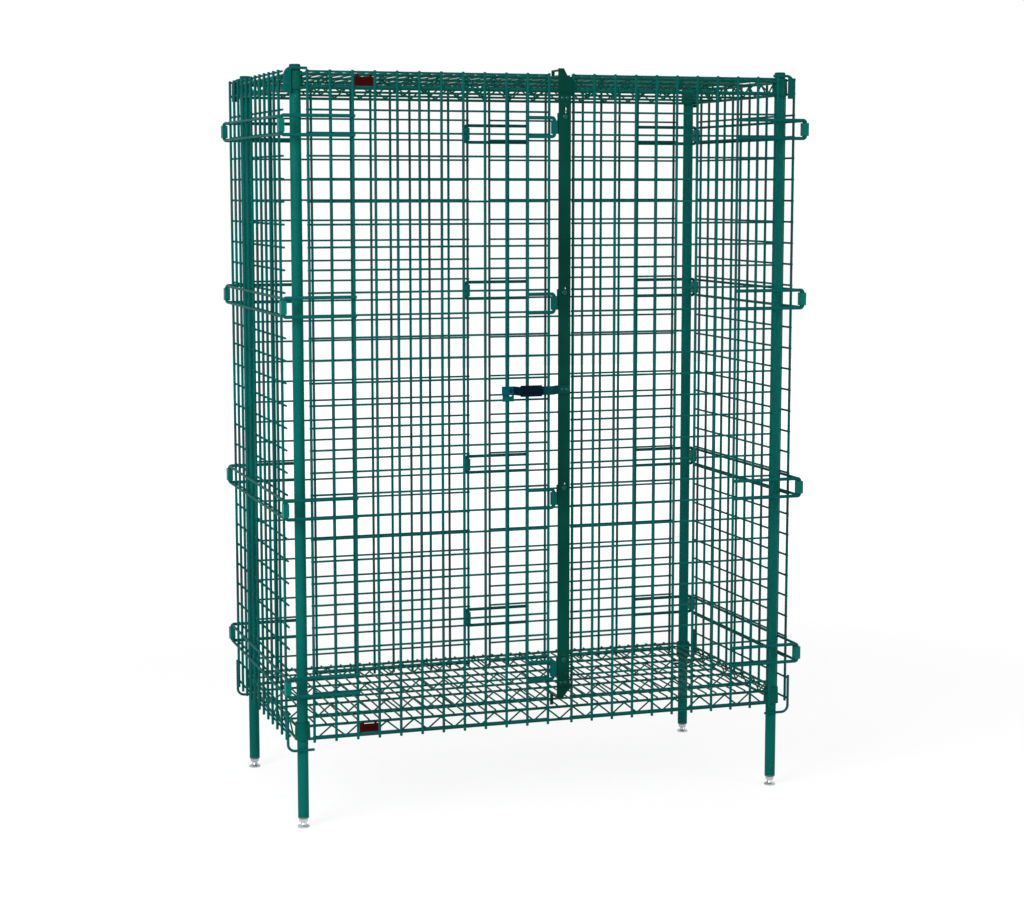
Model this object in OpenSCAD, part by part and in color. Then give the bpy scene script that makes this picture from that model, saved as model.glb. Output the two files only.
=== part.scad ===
// Wire security cage: four grooved posts carry a top and a bottom wire shelf, and welded mesh
// panels close the sides and the back. Two mesh doors swing on clips at the front corners, and
// a hooked lock bar slides on the inner edge of the left door.
// Millimetres, +Z up, front towards -Y, origin on the floor under the centre of the cage.

/* [Frame] */
// Distance between the post centres from left to right
post_pitch_x = 1168.4; // [900:0.1:1500]
// Distance between the post centres from front to back
post_pitch_y = 558.8; // [450:0.1:760]
// Height of the whole cage up to the post caps
unit_h = 1725; // [1690:1:2100]
// Outside diameter of a post
post_d = 25.4; // [24:0.1:27]
// Wall of the post tube
post_wall = 1.6; // [1.2:0.1:2]
// Pitch of the grooves rolled round a post
groove_pitch = 25.4; // [20:0.1:50]
// Width of a groove
groove_w = 1.8; // [1:0.1:3]
// Depth of a groove
groove_deep = 0.5; // [0.3:0.1:0.8]
// Height of the lower end of the tube above the floor
tube_lift = 25; // [24:1:40]

/* [Feet and caps] */
// Height of the domed top of a post cap
cap_h = 5; // [3:0.5:8]
// Length of the plug of a cap inside the tube
cap_plug_l = 18; // [10:1:30]
// Length of a foot insert inside the tube
insert_l = 35; // [25:1:50]
// Thickness of the flange of a foot insert
insert_flange = 3; // [2:0.5:4]
// Diameter of the foot's screw
screw_d = 10; // [8:0.5:12]
// Diameter of the foot's pad
pad_d = 28; // [24:1:40]
// Height of the foot's pad
pad_h = 5; // [4:0.5:8]
// Width across the flats of the foot's nut
nut_af = 19; // [17:1:22]
// Height of the foot's nut
nut_h = 8; // [6:0.5:10]

/* [Shelves] */
// Height of the bottom shelf's deck
bottom_deck = 246; // [236:1:256]
// Drop from the top of the cage to the top shelf's deck
top_drop = 15; // [14:1:18]
// Height of a shelf, from its lower rods to its deck
shelf_h = 40; // [34:1:44]
// Distance from the post centres out to the rim rods
rim_out = 14; // [12:0.5:16]
// Thickness of the rim rods
rim_d = 6.5; // [5:0.1:7.5]
// Thickness of the rods under the deck
rib_d = 5.6; // [4.5:0.1:6.4]
// Number of rod trusses under the deck
ribs = 2; // [1:1:4]
// Thickness of the deck wires
deck_d = 4; // [3:0.1:5]
// Pitch of the deck wires
deck_pitch = 25.4; // [24:0.1:40]
// Thickness of the zigzag wire in the trusses
truss_d = 4; // [3:0.1:4.5]
// Length of one zigzag of a truss
truss_pitch = 66; // [50:1:100]
// Wall of a corner collar
collar_wall = 2.4; // [1.8:0.1:3]
// Wall of a split sleeve at its upper end
sleeve_wall = 1.5; // [1.2:0.1:2]
// Taper of a split sleeve, from its upper to its lower end
sleeve_taper = 1.2; // [0.6:0.1:1.6]
// Width of the plain plate on a shelf's front
plate_w = 45; // [30:1:60]
// Distance from the left post centre to the middle of the plate
plate_in = 152; // [90:1:300]

/* [Mesh panels] */
// Pitch of the upright wires
mesh_pitch = 50.8; // [40:0.1:60]
// Pitch of the cross wires
row_pitch = 50.2; // [40:0.1:60]
// Thickness of the upright wires
upright_d = 6.3; // [5:0.1:7]
// Thickness of the cross wires
row_d = 4.8; // [4:0.1:6]
// Height of the lowest cross wire
panel_bottom = 219.5; // [214:0.5:225]
// Drop from the top of the cage to the highest cross wire
panel_drop = 17; // [15:1:22]
// Length of the uprights below the lowest cross wire
tail_low = 12; // [6:0.5:14]
// Length of the uprights above the highest cross wire
tail_high = 4; // [3:0.5:5]
// Distance from a post centre in to the first upright of a door or back panel
border_in = 21.6; // [18:0.1:26]
// Sideways play of the doors, as they hang a little to the left
door_play = 4; // [0:0.1:4]

/* [Loops, clips and hooks] */
// Height of the middle of the lowest loops
loop_low = 338; // [325:1:380]
// Height of the middle of the second loops
loop_second = 742; // [650:1:850]
// Drop from the top of the cage to the middle of the third loops
loop_third_drop = 532; // [435:1:600]
// Drop from the top of the cage to the middle of the highest loops
loop_high_drop = 134; // [125:1:200]
// Distance from a post centre out to the loops beside it, sideways
loop_out_x = 43.3; // [41:0.1:55]
// Distance from a post centre out to the door loops, forwards
loop_out_y = 52.5; // [50:0.1:62]
// Thickness of the door and back loops
door_loop_d = 8; // [6.5:0.1:9]
// Thickness of the side loops and hooks
side_loop_d = 6.3; // [5:0.1:7]
// Bend radius of a door or back loop
door_bend = 6; // [5:0.5:8]
// Bend radius of a side loop
side_bend = 4.5; // [4:0.1:6]
// Height of a clip
clip_h = 30; // [20:1:30]
// Wall of a clip in front of and behind its rods
clip_wall = 1.5; // [1.2:0.1:2]
// Wall of a clip beside its rods
clip_side = 2.5; // [1.5:0.1:3]
// Bend radius of a panel hook
hook_bend = 16; // [10:1:18]
// Length of a panel hook past the post centre
hook_past = 24; // [15:1:30]
// Height of the lower panel hooks
hook_low = 184; // [176:1:192]
// Drop from the top of the cage to the upper panel hooks
hook_drop = 9; // [8.5:0.1:10]
// Width of the plate in the corner of an upper panel hook
hanger_w = 13.5; // [8:0.5:15]
// Length of that plate below the hook's bend
hanger_l = 37; // [20:1:45]

/* [Lock] */
// Width of the lock bar
bar_w = 29; // [24:1:32]
// Thickness of the lock bar
bar_t = 3.2; // [2.5:0.1:4]
// Downward travel that drops the hooks behind the shelf rims
lock_travel = 9; // [6:0.5:10]
// Height of the handle
handle_z = 995; // [900:1:1080]
// Length of the handle past the middle of its padlock hole
handle_end = 22; // [14:1:30]
// Height of the handle's bar
handle_h = 20; // [16:1:24]
// Thickness of the handle's bar
handle_t = 4; // [3:0.5:5]
// Diameter of the padlock holes
padlock_d = 9; // [7:0.5:10]
// Rise of a guide screw above the middle of its loop
guide_rise = 24; // [22:1:26]
// Height of the keyhole in the bar above the middle of the top loop
keyhole_rise = 44; // [42:1:50]
// Height of the lower end of the bottom catch
catch_low_tip = 268; // [262:1:276]

/* [Hidden] */
$fn = 48;
hx = post_pitch_x / 2;
hy = post_pitch_y / 2;
post_r = post_d / 2;
bore_r = post_r - post_wall;
slip = 0.08;
gap = 0.3;
bite = 0.4;
tube_top = unit_h - cap_h;
top_deck = unit_h - top_drop;
panel_top = unit_h - panel_drop;
groove_base = tube_lift + groove_pitch / 2;

door_y = hy + loop_out_y;
upright_y = door_y - door_loop_d / 2 - upright_d / 2;
row_y = upright_y - (upright_d + row_d) / 2 + bite;
side_x = hx + loop_out_x;
side_upright_x = side_x - side_loop_d / 2 - upright_d / 2;
side_row_x = side_upright_x - (upright_d + row_d) / 2 + bite;
pair = door_loop_d / 2 + side_loop_d / 2 + clip_wall + 0.35;
side_arm = clip_h / 2 + side_bend + 0.5;
hook_y = hy + post_r + gap + side_loop_d / 2;
hanger_t = 2.3;
hanger_y = hy + post_r + sleeve_wall + collar_wall + 2 * gap;
door_arm = clip_h / 2 + door_bend;
loop_z1 = loop_low;
loop_z4 = unit_h - loop_high_drop;
loop_z = [loop_z1, loop_second, unit_h - loop_third_drop, loop_z4];

row_count = floor((panel_top - 20 - panel_bottom) / row_pitch);
rows = concat([for (k = [0:row_count]) panel_bottom + k * row_pitch], [panel_top]);
row_end = upright_d / 2 - 0.6;
side_count = floor(post_pitch_y / mesh_pitch + 0.001);
side_first = -side_count * mesh_pitch / 2;

border_x = hx - border_in;
left_count = floor((border_x - 2) / mesh_pitch);
back_edge = -border_x + left_count * mesh_pitch;
left_edge = back_edge - door_play;
guide_x = left_edge + 10.3;
bar_x = guide_x + 9;
catch_w = bar_w + 6;
right_count = floor((border_x - door_play - bar_x - catch_w - upright_d / 2 - 0.9) / mesh_pitch);
right_edge = border_x - right_count * mesh_pitch;
strap_end = border_x - 2 * mesh_pitch - 3.5;
seam_x = back_edge - 4;

guide_t = 3;
guide_top = guide_rise + 8;
bar_back = door_y + guide_t / 2 + gap;
bar_front = bar_back + bar_t;
catch_t = 3;
catch_low_top = loop_z1 - clip_h / 2 - 7;
catch_high_low = loop_z4 + keyhole_rise + 13;
lap = 18;
bar_low = catch_low_top - lap;
bar_high = catch_high_low + lap;
lock_clear = 1.1;
tongue_t = 4;
tongue_w = 7;
guide_screw_d = 7;
rivet_d = 5;
keyhole_d = 9;
lock_plate_t = 3;
lock_plate_front = upright_y + upright_d / 2 + lock_plate_t;
lock_wire = left_edge - 2 * mesh_pitch;
lock_hole_x = lock_wire + upright_d / 2 + padlock_d / 2 + 0.5;
bar_mid = bar_x + bar_w / 2;
bar_rivets = [bar_mid - 5.5, bar_mid + 5.5];

// Heights of the two rim rods of a shelf whose deck is at the given height.
function rim_high(deck) = deck - deck_d + bite - rim_d / 2;
function rim_low(deck) = deck - shelf_h + rim_d / 2;
// The groove that lies nearest to a height.
function near_groove(z) = groove_base + round((z - groove_base) / groove_pitch) * groove_pitch;

module at_post(sx, sy) translate([sx * hx, sy * hy, 0]) children();
module on_left() children();
module on_right() mirror([1, 0, 0]) children();

// Wires are eight-sided and measured across their corners, and a corner bites in at each weld.
module octagon_bar(len, d) cylinder(h = len, d = d, $fn = 8);
module wire_z(x, y, z0, z1, d) translate([x, y, z0]) octagon_bar(z1 - z0, d);
module wire_x(x0, x1, y, z, d) translate([x0, y, z]) rotate([0, 90, 0]) octagon_bar(x1 - x0, d);
module wire_y(y0, y1, x, z, d) translate([x, y0, z]) rotate([-90, 0, 0]) octagon_bar(y1 - y0, d);

// Posts
module post() {
  steps = floor((tube_top - groove_base - groove_w) / groove_pitch);
  rotate_extrude()
    polygon(concat(
      [[bore_r, tube_lift], [post_r, tube_lift]],
      [for (k = [0:steps]) each let (z = groove_base + k * groove_pitch) [
        [post_r, z - groove_w / 2],
        [post_r - groove_deep, z - groove_w / 4],
        [post_r - groove_deep, z + groove_w / 4],
        [post_r, z + groove_w / 2]
      ]],
      [[post_r, tube_top], [bore_r, tube_top]]
    ));
}

module cap() {
  plug_r = bore_r - slip;
  rotate_extrude()
    polygon(concat(
      [[0, tube_top - cap_plug_l], [plug_r - 1, tube_top - cap_plug_l],
       [plug_r, tube_top - cap_plug_l + 2], [plug_r, tube_top], [post_r, tube_top],
       [post_r, tube_top + cap_h * 0.4]],
      [for (a = [15:15:75]) [(post_r - 3) + 3 * cos(a), tube_top + cap_h * (0.4 + 0.6 * sin(a))]],
      [[post_r - 3, tube_top + cap_h], [0, tube_top + cap_h]]
    ));
}

module insert() {
  difference() {
    union() {
      translate([0, 0, tube_lift]) cylinder(h = insert_l, r = bore_r - slip);
      translate([0, 0, tube_lift - insert_flange]) cylinder(h = insert_flange, r = post_r);
    }
    translate([0, 0, tube_lift - insert_flange - 1])
      cylinder(h = insert_l + insert_flange + 2, r = screw_d / 2 + slip);
  }
}

module foot() {
  nut_top = tube_lift - insert_flange - gap;
  rotate_extrude()
    polygon([
      [0, 0], [pad_d / 2 - 1, 0], [pad_d / 2, 1], [pad_d / 2, pad_h - 2],
      [pad_d / 2 - 3, pad_h], [screw_d / 2 + 2, pad_h + 1.5], [screw_d / 2 + 1, nut_top - nut_h],
      [screw_d / 2, nut_top - nut_h], [screw_d / 2, tube_lift + insert_l - 6],
      [screw_d / 2 - 1, tube_lift + insert_l - 5], [0, tube_lift + insert_l - 5]
    ]);
  translate([0, 0, nut_top - nut_h])
    cylinder(h = nut_h, d = nut_af / cos(30), $fn = 6);
}

// Shelves: collars, double rim rods joined by a zigzag wire, ribs and deck wires, all welded.
module collar_cone(deck, wall) {
  top_r = post_r + gap / 2 + sleeve_wall + gap / 2 + wall;
  translate([0, 0, deck - shelf_h])
    cylinder(h = shelf_h, r1 = top_r + sleeve_taper, r2 = top_r);
}

module zigzag(len, low, high) {
  half = len / (2 * round(len / truss_pitch));
  slant = atan2(half, high - low);
  leg = norm([half, high - low]);
  for (k = [0:round(len / half) - 1])
    translate([-len / 2 + (k % 2 == 0 ? k : k + 1) * half, 0, low])
      rotate([0, k % 2 == 0 ? slant : -slant, 0])
        cylinder(h = leg, d = truss_d, $fn = 6);
}

module truss_x(y, len, d, low, high) {
  wire_x(-len / 2, len / 2, y, high, d);
  wire_x(-len / 2, len / 2, y, low, d);
  translate([0, y, 0]) zigzag(len - 2 * post_d, low, high);
}

module shelf(deck) {
  high = rim_high(deck);
  low = rim_low(deck);
  rim_x = hx + rim_out;
  rim_y = hy + rim_out;
  deck_n = floor((hx - post_r - collar_wall - deck_pitch / 3) / deck_pitch);
  difference() {
    union() {
      for (sx = [-1, 1], sy = [-1, 1]) at_post(sx, sy) collar_cone(deck, collar_wall);
      for (s = [-1, 1]) truss_x(s * rim_y, 2 * (hx - rim_out / 2), rim_d, low, high);
      for (s = [-1, 1]) rotate([0, 0, 90]) truss_x(s * rim_x, 2 * (hy - rim_out / 2), rim_d, low, high);
      for (k = [1:ribs]) truss_x(-hy + k * post_pitch_y / (ribs + 1), 2 * rim_x, rib_d, low, high);
      for (k = [-deck_n:deck_n])
        wire_y(-rim_y - 1, rim_y + 1, k * deck_pitch, deck - deck_d / 2, deck_d);
    }
    for (sx = [-1, 1], sy = [-1, 1]) at_post(sx, sy) collar_cone(deck, 0);
    for (sx = [-1, 1], sy = [-1, 1]) at_post(sx, sy)
      translate([0, 0, deck - shelf_h - 1]) cylinder(h = shelf_h + 2, r = post_r + 1);
  }
}

// Split sleeves: two tapered halves that snap into one groove and wedge the collar.
module sleeve_pair(deck) {
  ridge = near_groove(deck - shelf_h / 2);
  top_r = post_r + gap / 2 + sleeve_wall;
  difference() {
    translate([0, 0, deck - shelf_h])
      cylinder(h = shelf_h, r1 = top_r + sleeve_taper, r2 = top_r);
    difference() {
      translate([0, 0, deck - shelf_h - 1]) cylinder(h = shelf_h + 2, r = post_r + gap / 2);
      translate([0, 0, ridge - groove_w / 8]) difference() {
        cylinder(h = groove_w / 4, r = post_r + gap);
        translate([0, 0, -1]) cylinder(h = groove_w, r = post_r - groove_deep / 2);
      }
    }
    translate([-post_d, -1, deck - shelf_h - 1]) cube([2 * post_d, 2, shelf_h + 2]);
  }
}

module sleeves(deck) {
  for (sx = [-1, 1], sy = [-1, 1]) at_post(sx, sy) sleeve_pair(deck);
}

// A plain plate that hangs by two ears on the upper rim rod.
module shelf_plate(deck) {
  plate_t = 1.2;
  top = rim_high(deck) - 4;
  translate([-hx + plate_in, -hy - rim_out - rim_d / 2 - plate_t, 0]) {
    translate([-plate_w / 2, 0, rim_low(deck) + 4]) cube([plate_w, plate_t, top - rim_low(deck) - 4]);
    for (s = [-1, 1]) translate([s * plate_w / 3 - 3, 0, top]) cube([6, plate_t, 5]);
  }
}

// Mesh panels
module flat_mesh(x0, count) {
  for (k = [0:count])
    wire_z(x0 + k * mesh_pitch, upright_y, panel_bottom - tail_low, panel_top + tail_high, upright_d);
  for (z = rows)
    wire_x(x0 - row_end, x0 + count * mesh_pitch + row_end, row_y, z, row_d);
}

module back_left() flat_mesh(-border_x, left_count);
module back_right() flat_mesh(right_edge, right_count);
module door_shift() translate([-door_play, 0, 0]) mirror([0, 1, 0]) children();
module to_front() mirror([0, 1, 0]) children();

module side_panel() {
  for (k = [0:side_count])
    wire_z(-side_upright_x, side_first + k * mesh_pitch, panel_bottom - tail_low,
           panel_top + tail_high, upright_d);
  for (z = rows)
    wire_y(-hook_y, hook_y, -side_row_x, z, row_d);
}

// Loops: a bent rod whose straight middle stands upright at x = 0 and whose arms run to +x.
module bent_loop(len, arm, d, bend) {
  translate([0, 0, bend - arm]) cylinder(h = 2 * (arm - bend), d = d);
  for (s = [-1, 1]) {
    translate([bend, 0, s * arm]) rotate([0, 90, 0]) cylinder(h = len - bend, d = d);
    translate([bend, 0, s * (arm - bend)]) rotate([90, 0, 0]) rotate([0, 0, s > 0 ? 90 : 180])
      rotate_extrude(angle = 90) translate([bend, 0]) circle(d = d);
  }
}

module loop_column() for (z = loop_z) translate([0, 0, z]) children();

module corner_loops(shift = 0) loop_column() translate([-side_x, door_y, 0])
  bent_loop(side_x - strap_end - shift, door_arm, door_loop_d, door_bend);

module side_loops() loop_column()
  for (s = [0, 1]) mirror([0, s, 0])
    translate([-side_x, -door_y + pair, 0]) rotate([0, 0, 90])
      bent_loop(door_y - pair, side_arm, side_loop_d, side_bend);

module back_centre_loops() loop_column() translate([seam_x, door_y, 0])
  bent_loop(right_edge + 2 * mesh_pitch + 3 - seam_x, door_arm, door_loop_d, door_bend);

module door_centre_loops() loop_column() translate([guide_x, -door_y, 0]) mirror([1, 0, 0])
  bent_loop(guide_x - left_edge + mesh_pitch + 3, door_arm, door_loop_d, door_bend);

// Hooks: rods welded to the ends of the side panel's cross wires that reach round the posts.
module panel_hook(leg, bend, reach) {
  cylinder(h = leg, d = side_loop_d);
  translate([bend, 0, 0]) rotate([90, 0, 0]) rotate([0, 0, 180])
    rotate_extrude(angle = 90) translate([bend, 0]) circle(d = side_loop_d);
  translate([bend, 0, -bend]) rotate([0, 90, 0]) cylinder(h = reach - bend, d = side_loop_d);
}

// A flat plate that fills the corner of an upper hook, in front of the shelf's collar.
module hanger_plate(bend) rotate([90, 0, 0]) linear_extrude(hanger_t) {
  translate([-bend, 0]) square([hanger_w, hanger_l]);
  intersection() {
    circle(r = bend);
    translate([-bend, -bend]) square([hanger_w, bend]);
  }
}

module side_hooks() {
  low_x = side_row_x + row_d / 2 + side_loop_d / 2;
  high_x = side_row_x - row_d / 2 - side_loop_d / 2;
  high = unit_h - hook_drop;
  hook_end = hx - hook_past;
  for (s = [0, 1]) mirror([0, s, 0]) {
    translate([-low_x, -hook_y, hook_low + hook_bend])
      panel_hook(rows[1] + 5 - hook_low - hook_bend, hook_bend, low_x - hook_end);
    translate([-high_x, -hook_y, high - hook_bend]) mirror([0, 0, 1])
      panel_hook(high - hook_bend - rows[len(rows) - 2] + 12, hook_bend, high_x - hook_end);
    translate([-high_x + hook_bend, -hanger_y, high - hook_bend]) mirror([0, 0, 1])
      hanger_plate(hook_bend);
  }
}

// Clips: moulded blocks that snap over two upright rods, a outside and b inside.
module clip(a, ra, b, rb, inner) {
  x0 = min(a[0] - ra, b[0] - rb) - clip_side;
  x1 = max(a[0] + ra, b[0] + rb) + clip_side;
  difference() {
    translate([x0, inner, -clip_h / 2]) cube([x1 - x0, a[1] + ra + clip_wall - inner, clip_h]);
    translate([a[0], a[1], -clip_h]) cylinder(h = 2 * clip_h, r = ra + slip);
    translate([b[0], b[1], -clip_h]) cylinder(h = 2 * clip_h, r = rb + slip);
  }
}

module corner_clips() loop_column()
  clip([-side_x, door_y], door_loop_d / 2, [-side_x, door_y - pair], side_loop_d / 2,
       door_y - pair - side_loop_d / 2 - clip_wall);

module centre_clips() loop_column()
  clip([seam_x, door_y], door_loop_d / 2, [back_edge, upright_y], upright_d / 2,
       row_y + row_d / 2 + gap);

// Lock bar guides: a block fixed on each centre loop, with a plate behind the bar.
module bar_guides() loop_column() translate([0, -door_y, 0]) difference() {
  union() {
    translate([guide_x - door_loop_d / 2 - clip_side, -door_loop_d / 2 - clip_wall, -clip_h / 2])
      cube([door_loop_d + 2 * clip_side, door_loop_d + 2 * clip_wall, clip_h]);
    translate([guide_x, -guide_t / 2, -clip_h / 2])
      cube([bar_x + bar_w - 6 - guide_x, guide_t, clip_h / 2 + guide_top]);
  }
  translate([guide_x, 0, -clip_h]) cylinder(h = 2 * clip_h, r = door_loop_d / 2 + slip);
  translate([guide_x - 9, -9, clip_h / 2]) cube([16, 18, guide_top]);
  translate([bar_mid, 0, guide_rise]) rotate([90, 0, 0])
    cylinder(h = 20, r = guide_screw_d / 2 + slip, center = true);
}

// Shoulder screws that the bar's slots slide on, each with its nut behind the guide.
module guide_screws() loop_column()
  translate([bar_mid, -door_y, guide_rise]) rotate([90, 0, 0]) {
    translate([0, 0, -guide_t / 2 - 5]) cylinder(h = 5 + guide_t + gap + bar_t + gap, d = guide_screw_d);
    translate([0, 0, guide_t / 2 + gap + bar_t + gap]) cylinder(h = 1.6, d = 12.5);
    translate([0, 0, guide_t / 2 + gap + bar_t + gap + 1.6]) cylinder(h = 1.4, d1 = 12.5, d2 = 8);
    translate([0, 0, -guide_t / 2 - 4]) cylinder(h = 4, d = 12.7, $fn = 6);
  }

// Places of the rivets that join the bar and its two catches, as [x, z]
low_rivets = [for (x = bar_rivets) [x, catch_low_top - lap / 2]];
high_rivets = [for (x = bar_rivets) [x, catch_high_low + lap / 2]];

module rivet_hole(p) translate([p[0], -door_y, p[1]]) rotate([90, 0, 0])
  cylinder(h = 60, d = rivet_d + 2 * slip, center = true);

module lock_bar() difference() {
  translate([bar_x, -bar_front, bar_low]) cube([bar_w, bar_t, bar_high - bar_low]);
  for (z = loop_z) for (end = [0, lock_travel])
    translate([bar_mid, -door_y, z + guide_rise + end]) rotate([90, 0, 0])
      cylinder(h = 30, r = guide_screw_d / 2 + gap, center = true);
  for (z = loop_z)
    translate([bar_mid - guide_screw_d / 2 - gap, -door_y - 15, z + guide_rise])
      cube([guide_screw_d + 2 * gap, 30, lock_travel]);
  translate([bar_mid, -door_y, loop_z4 + keyhole_rise - 3]) rotate([90, 0, 0]) {
    cylinder(h = 30, d = keyhole_d, center = true);
    translate([0, keyhole_d, 0]) cylinder(h = 30, d = keyhole_d / 2, center = true);
    translate([-keyhole_d / 4, 0, -15]) cube([keyhole_d / 2, keyhole_d, 30]);
  }
  for (p = concat(low_rivets, high_rivets)) rivet_hole(p);
  for (x = bar_rivets) rivet_hole([x, handle_z]);
}

// A catch is a plate lapped behind an end of the bar, with a hooked tongue that reaches inwards.
module tongue(deck, z) {
  hook_low = rim_high(deck) + rim_d / 2 + lock_clear;
  tip = hy + rim_out - rim_d / 2 - 5.5;
  translate([bar_x + 0.5, -bar_back, z]) cube([tongue_w, bar_back - tip + 3, tongue_t]);
  translate([bar_x + 0.5, -tip - 1, hook_low]) cube([tongue_w, 4, z + tongue_t - hook_low]);
}

module catch_plate(outline, holes) difference() {
  translate([bar_x, -bar_back + catch_t, 0]) rotate([90, 0, 0])
    linear_extrude(catch_t) polygon(outline);
  for (p = holes) rivet_hole(p);
}

module catch_top() {
  tip = unit_h - 2;
  catch_plate([[0, catch_high_low], [bar_w, catch_high_low], [bar_w, catch_high_low + 12],
               [catch_w, catch_high_low + 24], [catch_w, tip - 26], [22, tip - 17], [13, tip],
               [0, tip]], high_rivets);
  tongue(top_deck, rim_high(top_deck) + rim_d / 2 + lock_travel + lock_clear);
}

module catch_bottom() {
  tip = catch_low_tip;
  catch_plate([[0, catch_low_top], [bar_w, catch_low_top], [bar_w + 3, catch_low_top - 8],
               [bar_w + 3, tip + 24], [13, tip], [0, tip]], low_rivets);
  tongue(bottom_deck, tip + 2);
}

// Handle: a flat bar bent out into a bow, with its end brought back to the padlock plate.
bow = 15;
bow_y = -bar_front - handle_t / 2 - bow;
tab_y = -lock_plate_front - gap - handle_t / 2;
bow_right = bar_x - 20;
bow_left = lock_hole_x + padlock_d / 2 + 10;
grip_end = bar_x - 46;
handle_path = [
  [bar_x + bar_w - 2, -bar_front - handle_t / 2], [bar_x - 4, -bar_front - handle_t / 2],
  [bow_right, bow_y], [bow_left, bow_y],
  [bow_left - 8, tab_y], [lock_hole_x - handle_end, tab_y]
];

// One corner of a bent strip's outline: the path's point k moved out to a mitred edge.
function unit(v) = v / norm(v);
function left_of(v) = [-v[1], v[0]];
function edge(path, k) = let (n = max(0, min(k, len(path) - 2))) unit(path[n + 1] - path[n]);
function mitre(path, k, half) =
  let (a = left_of(edge(path, k - 1)), n = unit(a + left_of(edge(path, k))))
    path[k] + n * half / (n * a);

module bent_strip(path, t) polygon(concat(
  [for (k = [0:len(path) - 1]) mitre(path, k, t / 2)],
  [for (k = [len(path) - 1:-1:0]) mitre(path, k, -t / 2)]
));

module lock_handle() difference() {
  translate([0, 0, handle_z - handle_h / 2])
    linear_extrude(handle_h) bent_strip(handle_path, handle_t);
  for (x = bar_rivets) rivet_hole([x, handle_z]);
  translate([lock_hole_x, tab_y, handle_z]) rotate([90, 0, 0])
    cylinder(h = 30, d = padlock_d, center = true);
}

module handle_grip() {
  grip_len = grip_end - bow_left - 2;
  wall = 2;
  translate([bow_left + 2, bow_y, handle_z]) rotate([90, 0, 90]) difference() {
    linear_extrude(grip_len) {
      square([handle_t + 2 * wall, handle_h - 2], center = true);
      for (s = [-1, 1]) translate([0, s * (handle_h / 2 - 1)]) circle(d = handle_t + 2 * wall);
    }
    translate([0, 0, -1]) linear_extrude(grip_len + 2)
      square([handle_t + 2 * slip, handle_h + 2 * slip], center = true);
  }
}

module rivet(p, front, back) translate([p[0], 0, p[1]]) rotate([90, 0, 0]) {
  translate([0, 0, back]) cylinder(h = front - back, d = rivet_d);
  translate([0, 0, front]) cylinder(h = 1.8, d1 = rivet_d + 4, d2 = rivet_d);
  translate([0, 0, back - 1.4]) cylinder(h = 1.4, d = rivet_d + 3);
}

module lock_rivets() {
  for (p = concat(low_rivets, high_rivets)) rivet(p, bar_front, bar_back - catch_t);
  for (x = bar_rivets) rivet([x, handle_z], bar_front + handle_t, bar_back);
}

module padlock_plate() difference() {
  translate([lock_wire - 11, -lock_plate_front, handle_z - lock_travel - 16])
    cube([lock_hole_x + padlock_d / 2 + 3 - lock_wire + 11, lock_plate_t, 32]);
  translate([lock_hole_x, -lock_plate_front, handle_z - lock_travel]) rotate([90, 0, 0])
    cylinder(h = 30, d = padlock_d, center = true);
}

module green() color([0.0, 0.42, 0.36]) children();
module dark_green() color([0.0, 0.27, 0.22]) children();
module zinc() color([0.75, 0.76, 0.78]) children();
module grey_plastic() color([0.35, 0.37, 0.38]) children();

green() at_post(-1, -1) post();  // post_front_left
green() at_post(1, -1) post();  // post_front_right
green() at_post(-1, 1) post();  // post_rear_left
green() at_post(1, 1) post();  // post_rear_right
dark_green() at_post(-1, -1) cap();  // cap_front_left
dark_green() at_post(1, -1) cap();  // cap_front_right
dark_green() at_post(-1, 1) cap();  // cap_rear_left
dark_green() at_post(1, 1) cap();  // cap_rear_right
grey_plastic() at_post(-1, -1) insert();  // insert_front_left
grey_plastic() at_post(1, -1) insert();  // insert_front_right
grey_plastic() at_post(-1, 1) insert();  // insert_rear_left
grey_plastic() at_post(1, 1) insert();  // insert_rear_right
zinc() at_post(-1, -1) foot();  // foot_front_left
zinc() at_post(1, -1) foot();  // foot_front_right
zinc() at_post(-1, 1) foot();  // foot_rear_left
zinc() at_post(1, 1) foot();  // foot_rear_right
green() shelf(top_deck);  // shelf_top
green() shelf(bottom_deck);  // shelf_bottom
grey_plastic() sleeves(top_deck);  // sleeves_top
grey_plastic() sleeves(bottom_deck);  // sleeves_bottom
color([0.35, 0.02, 0.03]) shelf_plate(top_deck);  // shelf_plate_top
color([0.35, 0.02, 0.03]) shelf_plate(bottom_deck);  // shelf_plate_bottom
green() on_left() side_panel();  // side_panel_left
green() on_right() side_panel();  // side_panel_right
green() on_left() side_loops();  // side_loops_left
green() on_right() side_loops();  // side_loops_right
green() on_left() side_hooks();  // side_hooks_left
green() on_right() side_hooks();  // side_hooks_right
green() back_left();  // back_panel_left
green() back_right();  // back_panel_right
green() on_left() corner_loops();  // back_loops_left
green() on_right() corner_loops();  // back_loops_right
green() back_centre_loops();
green() on_left() to_front() corner_clips();  // clips_front_left
green() on_right() to_front() corner_clips();  // clips_front_right
green() on_left() corner_clips();  // clips_rear_left
green() on_right() corner_clips();  // clips_rear_right
green() centre_clips();  // clips_rear_centre
green() door_shift() back_left();  // door_left
green() door_shift() back_right();  // door_right
green() on_left() to_front() corner_loops(door_play);  // door_loops_left
green() on_right() to_front() corner_loops(-door_play);  // door_loops_right
green() door_centre_loops();
green() bar_guides();
zinc() guide_screws();
dark_green() lock_bar();
dark_green() catch_top();
dark_green() catch_bottom();
dark_green() lock_handle();
color([0.01, 0.03, 0.07]) handle_grip();
zinc() lock_rivets();
green() padlock_plate();
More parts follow.
